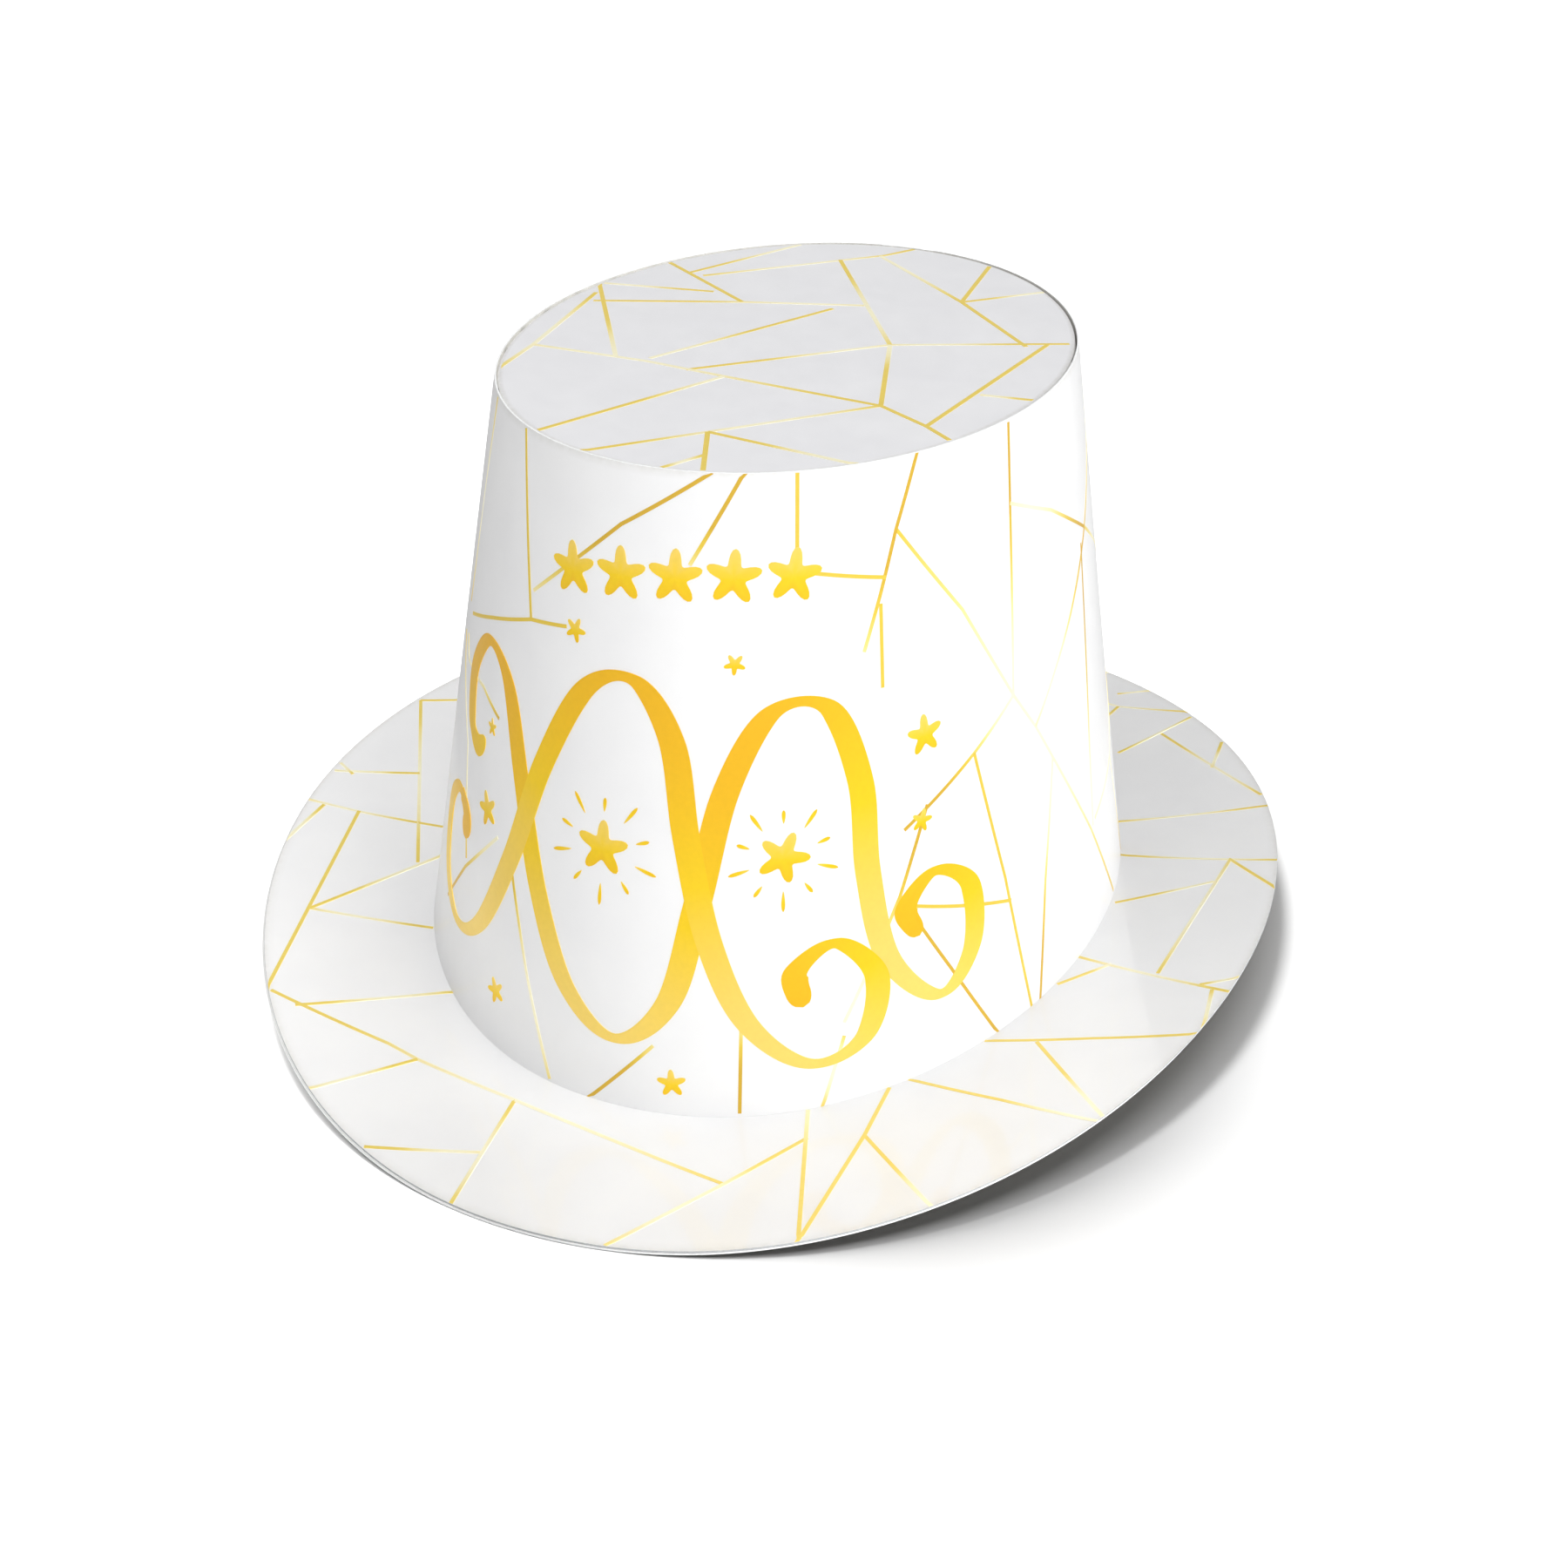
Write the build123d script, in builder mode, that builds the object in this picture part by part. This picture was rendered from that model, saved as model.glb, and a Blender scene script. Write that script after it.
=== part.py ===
from build123d import *
from math import asin, degrees
import os

# A card top hat for a party: an oval crown that tapers upwards, a flat top set
# just under the crown's rim, and a two-ply oval brim whose sides curl up.
# X runs across the hat, -Y is its front and Z is up. The origin is on the
# surface that the brim stands on, under the middle of the crown.

# Driving dimensions, in millimetres
CARD = 0.4                  # thickness of every card blank
CROWN_HEIGHT = 134.8        # from the standing surface up to the crown's rim
BASE_HALF_X = 81.9          # crown's outer oval at the standing surface
BASE_HALF_Y = 103.9
RIM_HALF_X = 60.6           # crown's outer oval at its rim
RIM_HALF_Y = 81.0
BRIM_HALF_X = 118.0         # brim's outline, seen from above
BRIM_HALF_Y = 146.0
BRIM_FLAT_HALF = 12.0       # half the width of the strip that the brim stands on
BRIM_LIFT = 12.4            # rise of the brim's sides above the standing surface

TOP_RECESS = 0.6            # how far the flat top lies below the rim
TOP_SIDE_GAP = 1.1          # crescent gap between the flat top and the wall, left and right
TOP_END_GAP = 0.1           # the same gap at the front and back

TAB_HEIGHT = 12.0           # glue tabs on the brim and on the flat top
TAB_NOTCH = 2.4             # gap between neighbouring tabs
TAB_COUNT = 36
SEAM_X = 6.0                # free edge of the crown's lapped seam, at the back
SEAM_SLIT = 0.25
LAP_PAST = 4.0              # how far the inner flap runs past the free edge
HEAD_BAND_HEIGHT = 28.0

# Worked out from the driving dimensions
BRIM_THICK = 2 * CARD
CURL_RUN = BRIM_HALF_X - BRIM_FLAT_HALF
CURL_RADIUS = (CURL_RUN**2 + BRIM_LIFT**2) / (2 * BRIM_LIFT)
CURL_MARGIN = 2.0           # the curl's section runs this far past the brim's outline
CURL_ANGLE = degrees(asin((CURL_RUN + CURL_MARGIN) / CURL_RADIUS))
TOP_FACE = CROWN_HEIGHT - TOP_RECESS
TOP_UNDERSIDE = TOP_FACE - CARD
BELOW = -10.0               # cutting solids start under the whole hat
REACH = 160.0               # and run past it at the front and back


def crown_oval(height, inset):
    """The crown's oval at a height, drawn in from its outside, as a face."""
    share = height / CROWN_HEIGHT
    half_x = BASE_HALF_X + (RIM_HALF_X - BASE_HALF_X) * share - inset
    half_y = BASE_HALF_Y + (RIM_HALF_Y - BASE_HALF_Y) * share - inset
    with BuildSketch(Plane.XY.offset(height)) as oval:
        Ellipse(half_x, half_y)
    return oval.sketch


def crown_cone(low, high, inset):
    """The crown's ovals at two heights, for a ruled loft between them."""
    return [crown_oval(low, inset), crown_oval(high, inset)]


def brim_section(low, high):
    """Section across the brim between two heights above its underside."""
    with BuildSketch(Plane.XZ) as section:
        with BuildLine():
            flat_low = Line((0, low), (BRIM_FLAT_HALF, low))
            curl_low = JernArc(flat_low @ 1, flat_low % 1, CURL_RADIUS - low, CURL_ANGLE)
            flat_high = Line((0, high), (BRIM_FLAT_HALF, high))
            curl_high = JernArc(flat_high @ 1, flat_high % 1, CURL_RADIUS - high, CURL_ANGLE)
            Line(flat_low @ 0, flat_high @ 0)
            Line(curl_low @ 1, curl_high @ 1)
        make_face()
        mirror(about=Plane.YZ)
    return section.sketch


# The crown's wall is one blank rolled into an oval cone, lapped at the back.
# The lap's inner flap stops short of the flat top.
with BuildPart() as lap_flap:
    loft(crown_cone(0, TOP_UNDERSIDE - CARD, CARD), ruled=True)
    loft(crown_cone(0, TOP_UNDERSIDE - CARD, BRIM_THICK), ruled=True, mode=Mode.SUBTRACT)
    with Locations((SEAM_X + LAP_PAST, BASE_HALF_Y, CROWN_HEIGHT / 2)):
        Box(
            SEAM_X * 2 + LAP_PAST,
            BASE_HALF_Y,
            CROWN_HEIGHT,
            align=(Align.MAX, Align.CENTER, Align.CENTER),
            mode=Mode.INTERSECT,
        )

with BuildPart() as crown_wall:
    loft(crown_cone(0, CROWN_HEIGHT, 0), ruled=True)
    loft(crown_cone(0, CROWN_HEIGHT, CARD), ruled=True, mode=Mode.SUBTRACT)
    with Locations((SEAM_X, BASE_HALF_Y, CROWN_HEIGHT / 2)):
        Box(SEAM_SLIT, BASE_HALF_Y, CROWN_HEIGHT, mode=Mode.SUBTRACT)
    add(lap_flap.part)
    # Its foot is cut to the brim's curl, which it stands on.
    extrude(brim_section(BELOW, BRIM_THICK), amount=REACH, both=True, mode=Mode.SUBTRACT)
crown_wall.part.label = "crown_wall"


# The flat top is an oval disc, a little narrower than the crown, with a ring of
# glue tabs folded down against the inside of the wall.
TAB_FOOT = TOP_UNDERSIDE - TAB_HEIGHT
TAB_MID_RADIUS = (RIM_HALF_X + RIM_HALF_Y) / 2
DISC_HALF_X = RIM_HALF_X - CARD - TOP_SIDE_GAP
DISC_HALF_Y = RIM_HALF_Y - CARD - TOP_END_GAP


def disc_oval(inset):
    """The flat top's outline on its underside, drawn in by inset."""
    with BuildSketch(Plane.XY.offset(TOP_UNDERSIDE)) as outline:
        Ellipse(DISC_HALF_X - inset, DISC_HALF_Y - inset)
    return outline.sketch


with BuildPart() as crown_top:
    loft([crown_oval(TAB_FOOT, CARD), disc_oval(0)], ruled=True)
    loft([crown_oval(TAB_FOOT, BRIM_THICK), disc_oval(CARD)], ruled=True, mode=Mode.SUBTRACT)
    with Locations((0, 0, TAB_FOOT)):
        with PolarLocations(TAB_MID_RADIUS, TAB_COUNT, start_angle=90):
            Box(TAB_MID_RADIUS, TAB_NOTCH, 2 * TAB_HEIGHT, mode=Mode.SUBTRACT)
        with Locations((LAP_PAST / 2, TAB_MID_RADIUS, 0)):
            Box(2 * SEAM_X + 2 * LAP_PAST, TAB_MID_RADIUS, 2 * TAB_HEIGHT, mode=Mode.SUBTRACT)
    extrude(disc_oval(0), amount=CARD)
crown_top.part.label = "crown_top"


# The brim is two oval rings of card, one on the other. The upper one has glue
# tabs folded up inside the foot of the crown's wall.
def brim_ring(low, high):
    """One ply of the brim, between two heights above its underside."""
    with BuildPart() as ring:
        extrude(brim_section(low, high), amount=REACH, both=True)
        with BuildSketch(Plane.XY.offset(BELOW)):
            Ellipse(BRIM_HALF_X, BRIM_HALF_Y)
        extrude(amount=CROWN_HEIGHT, mode=Mode.INTERSECT)
        loft(crown_cone(BELOW, CROWN_HEIGHT, BRIM_THICK), ruled=True, mode=Mode.SUBTRACT)
    return ring.part


with BuildPart() as brim_under:
    add(brim_ring(0, CARD))
brim_under.part.label = "brim_under"

with BuildPart() as brim_tabs:
    loft(crown_cone(0, CROWN_HEIGHT, CARD), ruled=True)
    loft(crown_cone(0, CROWN_HEIGHT, BRIM_THICK), ruled=True, mode=Mode.SUBTRACT)
    extrude(
        brim_section(BRIM_THICK, BRIM_THICK + TAB_HEIGHT),
        amount=REACH,
        both=True,
        mode=Mode.INTERSECT,
    )
    BASE_MID_RADIUS = (BASE_HALF_X + BASE_HALF_Y) / 2
    with PolarLocations(BASE_MID_RADIUS, TAB_COUNT, start_angle=90):
        Box(BASE_MID_RADIUS, TAB_NOTCH, 4 * TAB_HEIGHT, mode=Mode.SUBTRACT)
    with Locations((LAP_PAST / 2, BASE_MID_RADIUS, 0)):
        Box(2 * SEAM_X + 2 * LAP_PAST, BASE_MID_RADIUS, 4 * TAB_HEIGHT, mode=Mode.SUBTRACT)

with BuildPart() as brim_top:
    add(brim_ring(CARD, BRIM_THICK))
    add(brim_tabs.part)
brim_top.part.label = "brim_top"


# The head band is a plain hoop inside the crown's foot, over the brim's tabs.
with BuildPart() as head_band:
    loft(crown_cone(0, CROWN_HEIGHT, BRIM_THICK), ruled=True)
    loft(crown_cone(0, CROWN_HEIGHT, BRIM_THICK + CARD), ruled=True, mode=Mode.SUBTRACT)
    extrude(
        brim_section(CARD, CARD + HEAD_BAND_HEIGHT),
        amount=REACH,
        both=True,
        mode=Mode.INTERSECT,
    )
head_band.part.label = "head_band"


os.makedirs("parts", exist_ok=True)
for piece in (crown_wall, crown_top, brim_top, brim_under, head_band):
    export_step(piece.part, f"parts/{piece.part.label}.step")
    print(piece.part.label, len(piece.part.solids()), "solid", round(piece.part.volume), "mm3")
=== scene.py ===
from math import ceil, cos, hypot, pi, radians, sin, sqrt

import bmesh
import bpy
from mathutils import Matrix, Vector


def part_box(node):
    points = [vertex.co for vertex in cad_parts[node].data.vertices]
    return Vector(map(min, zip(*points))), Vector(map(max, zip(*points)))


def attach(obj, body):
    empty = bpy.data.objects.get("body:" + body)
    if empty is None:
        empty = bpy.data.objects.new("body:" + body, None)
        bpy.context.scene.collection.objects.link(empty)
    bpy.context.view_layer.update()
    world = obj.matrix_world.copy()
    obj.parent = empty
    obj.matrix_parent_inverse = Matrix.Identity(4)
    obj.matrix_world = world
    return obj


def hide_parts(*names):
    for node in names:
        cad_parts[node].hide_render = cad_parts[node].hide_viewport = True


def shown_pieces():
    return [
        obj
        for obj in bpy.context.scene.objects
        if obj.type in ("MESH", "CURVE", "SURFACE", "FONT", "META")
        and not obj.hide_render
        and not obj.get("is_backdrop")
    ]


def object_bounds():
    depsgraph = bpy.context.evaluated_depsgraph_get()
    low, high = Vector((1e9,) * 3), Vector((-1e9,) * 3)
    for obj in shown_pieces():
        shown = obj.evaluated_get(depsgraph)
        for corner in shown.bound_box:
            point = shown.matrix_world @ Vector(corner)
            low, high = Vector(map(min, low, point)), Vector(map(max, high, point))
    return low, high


# A white card top hat for a party, printed with lines of gold foil, a row of
# stars and two curly streamers. Lengths in this script are in millimetres and
# angles in degrees; every mesh and lamp is turned into metres as it is made.
# X runs across the hat, -Y is its front and Z is up.

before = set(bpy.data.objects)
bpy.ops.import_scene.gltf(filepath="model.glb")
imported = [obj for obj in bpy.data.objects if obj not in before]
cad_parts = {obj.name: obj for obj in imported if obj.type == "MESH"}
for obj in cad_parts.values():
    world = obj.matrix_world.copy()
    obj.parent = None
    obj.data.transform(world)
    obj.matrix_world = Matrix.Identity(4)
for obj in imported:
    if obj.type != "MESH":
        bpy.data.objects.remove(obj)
cad_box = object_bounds()
MM = 0.001

# ---------------------------------------------------------------- the frame


def reach(node, axis, low=-1000.0, high=1000.0):
    """The corner of a CAD node furthest along an axis, out of those between two heights."""
    corners = [vert.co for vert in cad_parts[node].data.vertices]
    within = [corner for corner in corners if low <= corner.z / MM <= high]
    return max(within, key=lambda corner: corner[axis]) / MM


def lowest(node):
    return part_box(node)[0].z / MM


def highest(node):
    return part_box(node)[1].z / MM


# The hat's measures, read from the CAD. A pair holds one value across the hat
# and one from front to back.
CARD = lowest("brim_top") - lowest("brim_under")
BRIM_THICK = 2 * CARD
RIM = highest("crown_wall")
RIM_HALF = [reach("crown_wall", axis, low=RIM - 0.01)[axis] for axis in (0, 1)]
FOOT = [reach("crown_wall", axis) for axis in (0, 1)]
BRIM_HALF = [reach("brim_under", axis)[axis] for axis in (0, 1)]
BRIM_FLAT = reach("brim_under", 0, high=0.001).x
BRIM_LIFT = highest("brim_under") - CARD
CURL_RUN = BRIM_HALF[0] - BRIM_FLAT
CURL_RADIUS = (CURL_RUN**2 + BRIM_LIFT**2) / (2 * BRIM_LIFT)
TOP_RAISE = 0.35            # the flat top lies this far above the CAD's, to thin its dark rim
TOP_FACE = highest("crown_top") + TOP_RAISE

WALL_RIPPLE = 0.10          # how far the rolled card strays from a true cone
BRIM_RIPPLE = 0.22          # and the brim's sides from a true curl
BRIM_WAVE = (41.0, 23.0)    # the length of the brim's ripple for each radian of it


def crown_half(axis, height):
    """Half the crown's outer oval across an axis, at a height."""
    share = (height - FOOT[axis].z) / (RIM - FOOT[axis].z)
    return FOOT[axis][axis] + (RIM_HALF[axis] - FOOT[axis][axis]) * share


def wall_ripple(turn, height):
    """How far the wall stands out from its cone: nothing at its foot and its rim."""
    share = min(max(height / RIM, 0.0), 1.0)
    waves = sin(5 * turn + 2.0 * share) + 0.6 * sin(9 * turn - 3.0 * share + 1.0)
    return WALL_RIPPLE * sin(pi * share) * waves


def wall_point(angle, height, out=0.0):
    """A point on the crown's printed side. The angle is 0 at the front and grows towards +X."""
    turn = radians(angle)
    swell = out + wall_ripple(turn, height)
    return Vector((
        (crown_half(0, height) + swell) * sin(turn),
        -(crown_half(1, height) + swell) * cos(turn),
        height,
    ))


def brim_height(x, y, level):
    """The height at (x, y) of the layer of the curled brim that is at this level in its middle."""
    run = max(abs(x) - BRIM_FLAT, 0.0)
    side = (x / BRIM_HALF[0]) ** 2
    ripple = BRIM_RIPPLE * side * sin(y / BRIM_WAVE[1] + x / BRIM_WAVE[0])
    return CURL_RADIUS - sqrt((CURL_RADIUS - level) ** 2 - run**2) + ripple


def brim_point(x, y, out=0.0):
    """A point on the brim's printed side."""
    return Vector((x, y, brim_height(x, y, BRIM_THICK + out)))


def top_point(x, y, out=0.0):
    """A point on the flat top's printed side."""
    return Vector((x, y, TOP_FACE + out))


def wall_foot(angle):
    """The height at which the wall meets the brim. A few rounds bring it close enough."""
    height = BRIM_THICK
    for _ in range(4):
        place = wall_point(angle, height)
        height = brim_height(place.x, place.y, BRIM_THICK)
    return height


# --------------------------------------------------------------- materials


def new_material(name):
    material = bpy.data.materials.new(name)
    material.use_nodes = True
    return material, material.node_tree, material.node_tree.nodes["Principled BSDF"]


def add_node(tree, kind, inputs=None, **settings):
    """Adds a node, and sets or links its inputs by name."""
    node = tree.nodes.new(kind)
    for name, value in settings.items():
        setattr(node, name, value)
    for name, value in (inputs or {}).items():
        if isinstance(value, bpy.types.NodeSocket):
            tree.links.new(value, node.inputs[name])
        else:
            node.inputs[name].default_value = value
    return node


def noise(tree, scale, detail=3.0, stretch=(1, 1, 1)):
    """Noise in the hat's own coordinates. The scale is in lumps per metre."""
    place = add_node(tree, "ShaderNodeTexCoord").outputs["Object"]
    place = add_node(tree, "ShaderNodeMapping", {"Vector": place, "Scale": stretch}).outputs[0]
    inputs = {"Vector": place, "Scale": scale, "Detail": detail}
    return add_node(tree, "ShaderNodeTexNoise", inputs).outputs["Fac"]


def ramp(tree, value, *stops):
    """A colour ramp with stops of (place, colour)."""
    node = add_node(tree, "ShaderNodeValToRGB", {"Fac": value})
    node.color_ramp.elements[0].position = stops[0][0]
    node.color_ramp.elements[0].color = (*stops[0][1], 1)
    node.color_ramp.elements[1].position = stops[-1][0]
    node.color_ramp.elements[1].color = (*stops[-1][1], 1)
    for place, colour in stops[1:-1]:
        node.color_ramp.elements.new(place).color = (*colour, 1)
    return node.outputs["Color"]


def between(tree, value, low, high):
    """A number that runs from low to high as a noise value does."""
    inputs = {"Value": value, "From Min": 0.3, "From Max": 0.7, "To Min": low, "To Max": high}
    return add_node(tree, "ShaderNodeMapRange", inputs).outputs["Result"]


def mix_colour(tree, share, first, second):
    """A mix of two colours, which go into the node's inputs 6 and 7."""
    node = add_node(tree, "ShaderNodeMix", data_type="RGBA")
    tree.links.new(share, node.inputs["Factor"])
    for colour, socket in ((first, node.inputs[6]), (second, node.inputs[7])):
        if isinstance(colour, bpy.types.NodeSocket):
            tree.links.new(colour, socket)
        else:
            socket.default_value = (*colour, 1)
    return node.outputs[2]


def bump(tree, shader, height, strength, depth):
    """Makes a surface look uneven, to a depth in mm."""
    inputs = {"Height": height, "Strength": strength, "Distance": depth * MM}
    tree.links.new(add_node(tree, "ShaderNodeBump", inputs).outputs[0], shader.inputs["Normal"])


def printed_card(name, gloss):
    """White coated board: clean and glossy, with a faint mottle and dull, rubbed edges.

    The mesh's rub attribute says where it is rubbed.
    """
    material, tree, shader = new_material(name)
    mottle = ramp(tree, noise(tree, 60, 5), (0.3, (0.82, 0.82, 0.825)), (0.7, (0.85, 0.85, 0.85)))
    rub = add_node(tree, "ShaderNodeAttribute", attribute_name="rub").outputs["Fac"]
    factors = {0: rub, 1: noise(tree, 700, 4)}
    patchy = add_node(tree, "ShaderNodeMath", factors, operation="MULTIPLY")
    worn = mix_colour(tree, patchy.outputs[0], mottle, (0.66, 0.65, 0.62))
    tree.links.new(worn, shader.inputs["Base Color"])
    tree.links.new(between(tree, noise(tree, 250), 0.30, 0.42), shader.inputs["Roughness"])
    shader.inputs["Coat Weight"].default_value = gloss
    shader.inputs["Coat Roughness"].default_value = 0.04
    bump(tree, shader, noise(tree, 1400, 4), 0.10, 0.02)
    return material


def plain_card():
    """The board's uncoated grey-white back, with fibres and flecks."""
    material, tree, shader = new_material("plain_card")
    fibres = noise(tree, 900, 6, stretch=(1, 0.25, 1))
    tone = ramp(tree, fibres, (0.35, (0.58, 0.57, 0.54)), (0.65, (0.68, 0.67, 0.64)))
    flecks = ramp(tree, noise(tree, 2600, 2), (0.30, (1, 1, 1)), (0.36, (0, 0, 0)))
    tree.links.new(mix_colour(tree, flecks, tone, (0.45, 0.42, 0.37)), shader.inputs["Base Color"])
    tree.links.new(between(tree, fibres, 0.78, 0.92), shader.inputs["Roughness"])
    bump(tree, shader, fibres, 0.35, 0.05)
    return material


def cut_edge(name, tone_low, tone_high):
    """The board's cut edge: matt and slightly furry."""
    material, tree, shader = new_material(name)
    layers = noise(tree, 1800, 4)
    tone = ramp(tree, layers, (0.3, tone_low), (0.7, tone_high))
    tree.links.new(tone, shader.inputs["Base Color"])
    tree.links.new(between(tree, layers, 0.7, 0.9), shader.inputs["Roughness"])
    bump(tree, shader, layers, 0.3, 0.03)
    return material


def gold_foil(name, *stops):
    """Hot-stamped foil, whose colour runs along each shape with its tone attribute: a painted
    sheen, from a pale painted highlight to deep gold.
    """
    material, tree, shader = new_material(name)
    tone = add_node(tree, "ShaderNodeAttribute", attribute_name="tone").outputs["Fac"]
    colour = ramp(tree, tone, *stops)
    grain = noise(tree, 900, 3)
    soft = ramp(tree, grain, (0.3, (0.965, 0.965, 0.965)), (0.7, (1, 1, 1)))
    whole = {"Factor": 1.0}
    shade = add_node(tree, "ShaderNodeMix", whole, data_type="RGBA", blend_type="MULTIPLY")
    tree.links.new(colour, shade.inputs[6])
    tree.links.new(soft, shade.inputs[7])
    tree.links.new(shade.outputs[2], shader.inputs["Base Color"])
    tree.links.new(between(tree, noise(tree, 90), 0.30, 0.38), shader.inputs["Roughness"])
    shader.inputs["Metallic"].default_value = 0.2
    return material


# A card piece's three materials are those of its printed side, its back and its cut edges.
CROWN_CARD = printed_card("crown_card", 0.25)
BRIM_CARD = printed_card("brim_card", 1.0)
PLAIN = plain_card()
PALE_CUT = cut_edge("pale_cut_edge", (0.74, 0.75, 0.75), (0.84, 0.85, 0.85))
# The grey cut edge is painted shade: the same board as the pale edge, darkened to stand for the
# shade along the edges of the brim's upper ply and of the flat top.
PAINTED_SHADE_CUT = cut_edge("painted_shade_cut_edge", (0.36, 0.37, 0.38), (0.46, 0.47, 0.48))
# The foil ramps are a painted sheen: pale cream stands for a painted highlight, deep gold for the
# less lit parts.
LINE_FOIL = gold_foil(
    "line_foil",
    (0.0, (1.0, 0.95, 0.68)),
    (0.25, (0.93, 0.76, 0.23)),
    (0.5, (0.84, 0.61, 0.07)),
    (1.0, (0.70, 0.44, 0.04)),
)
ORNAMENT_FOIL = gold_foil(
    "ornament_foil",
    (0.0, (0.96, 0.69, 0.15)),
    (0.4, (0.95, 0.64, 0.01)),
    (1.0, (0.88, 0.44, 0.01)),
)

# -------------------------------------------------------------- card pieces


def finish_piece(mesh, name, materials, slot, *replaced, crisp=False):
    """Turns a bmesh in mm into a smooth piece of the hat. A crisp one keeps its sharp corners."""
    bmesh.ops.delete(mesh, geom=[v for v in mesh.verts if not v.link_faces], context="VERTS")
    bmesh.ops.recalc_face_normals(mesh, faces=mesh.faces)
    bmesh.ops.scale(mesh, vec=(MM, MM, MM), verts=mesh.verts)
    for face in mesh.faces:
        face.smooth = True
    for edge in mesh.edges:
        edge.smooth = not (crisp and edge.calc_face_angle(0) > radians(40))
    data = bpy.data.meshes.new(name)
    mesh.to_mesh(data)
    mesh.free()
    for material in materials:
        data.materials.append(material)
    piece = bpy.data.objects.new(name, data)
    bpy.context.scene.collection.objects.link(piece)
    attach(piece, "root")
    if replaced:
        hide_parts(*replaced)
    return piece


def soften(piece, width):
    """Rounds the cut edges of a card piece, whose third material is theirs."""
    bevel = piece.modifiers.new("softened_edges", "BEVEL")
    bevel.width = width * MM
    bevel.segments = 2
    bevel.limit_method = "ANGLE"
    bevel.angle_limit = radians(50)
    bevel.harden_normals = True
    bevel.material = 2


def card_mesh(columns, rows, face, back, rub, missing=lambda i, j: False, ring=True):
    """A closed card, made of a grid of cells that may join up into a ring.

    face(i, j) and back(i, j) place the corners of its two sides, rub(i, j) says how
    rubbed they are, and the cells for which missing(i, j) holds are cut away.
    """
    mesh = bmesh.new()
    worn = mesh.verts.layers.float.new("rub")
    lines = columns if ring else columns + 1
    grids = []
    for side in (face, back):
        grid = [[mesh.verts.new(side(i, j)) for j in range(rows + 1)] for i in range(lines)]
        grids.append(grid)
        for i in range(lines):
            for j in range(rows + 1):
                grid[i][j][worn] = rub(i, j)

    def kept(i, j):
        if ring:
            i %= columns
        return 0 <= i < columns and 0 <= j < rows and not missing(i, j)

    def corner(side, i, j):
        return grids[side][i % lines][j]

    for i in range(columns):
        for j in range(rows):
            if not kept(i, j):
                continue
            around = ((i, j), (i + 1, j), (i + 1, j + 1), (i, j + 1))
            beside = ((i, j - 1), (i + 1, j), (i, j + 1), (i - 1, j))
            mesh.faces.new([corner(0, *place) for place in around])
            mesh.faces.new([corner(1, *place) for place in reversed(around)]).material_index = 1
            for k in range(4):
                if not kept(*beside[k]):
                    start, end = around[k], around[(k + 1) % 4]
                    side = (corner(0, *end), corner(0, *start), corner(1, *start), corner(1, *end))
                    mesh.faces.new(side).material_index = 2
    return mesh


def graded(low, high, step, fine=(0.0, 0.3, 0.8, 1.8, 3.5)):
    """Places from low to high, close together near both ends."""
    middle = high - low - 2 * fine[-1]
    count = ceil(middle / step)
    inner = [fine[-1] + middle * k / count for k in range(1, count)]
    return [low + d for d in (*fine, *inner)] + [high - d for d in reversed(fine)]


RUB_REACH = 1.5             # how far in from its edges the print is rubbed


def rub_at(distance):
    """How rubbed the print is at a distance from a card's edge."""
    return max(0.0, 1.0 - distance / RUB_REACH)


SEAM_FREE = -184.7          # the lap's free edge, a little past the middle of the back
SEAM_DIP = (171.5, 174.5)   # where the other end bends in behind it
SEAM_END = 185.0            # and where that end stops
SEAM_DEPTH = 1.15 * CARD    # how far it bends in
WALL_COLUMNS = 420


def make_crown_wall():
    """The crown's wall: one blank, rolled up and lapped at the back."""
    levels = graded(0.0, RIM, 4.6)
    round_angle = SEAM_END - SEAM_FREE
    angles = [SEAM_FREE + round_angle * i / WALL_COLUMNS for i in range(WALL_COLUMNS + 1)]
    feet = [wall_foot(angle) for angle in angles]

    def place(i, j, inset):
        height = feet[i] + (RIM - feet[i]) * levels[j] / RIM
        dip = min(max((angles[i] - SEAM_DIP[0]) / (SEAM_DIP[1] - SEAM_DIP[0]), 0.0), 1.0)
        return wall_point(angles[i], height, -inset - SEAM_DEPTH * dip * dip * (3 - 2 * dip))

    mesh = card_mesh(
        WALL_COLUMNS,
        len(levels) - 1,
        lambda i, j: place(i, j, 0.0),
        lambda i, j: place(i, j, CARD),
        lambda i, j: rub_at(RIM - levels[j]),
        ring=False,
    )
    materials = (CROWN_CARD, PLAIN, PALE_CUT)
    piece = finish_piece(mesh, "crown_wall_card", materials, "printed_card", "crown_wall")
    soften(piece, 0.07)


# The flat top and the brim's upper ply both have a ring of glue tabs. Their grids
# start with the rows of the tabs and of the fold, and the flat part comes after.
TAB_ROWS = (12.0, 9.0, 6.0, 3.0, 1.2)  # how far each row of a tab is from its fold
FOLD_ROWS = (0, 30, 60, 90)  # how far the card has turned at each row of the fold
FLAT_ROW = len(TAB_ROWS) + len(FOLD_ROWS)
TAB_COUNT = 36
NOTCH_COLUMNS = 2           # columns of cells between two tabs
LAP_ANGLES = (165, 191)     # where the wall's lap leaves no room for tabs


def cut_away(columns):
    """Says which cells of a ring of glue tabs are cut away."""
    per_tab = columns // TAB_COUNT

    def missing(i, j):
        notch = i % per_tab >= per_tab - NOTCH_COLUMNS
        lapped = LAP_ANGLES[0] < 360.0 * i / columns < LAP_ANGLES[1]
        return j < len(TAB_ROWS) and (notch or lapped)

    return missing


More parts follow.
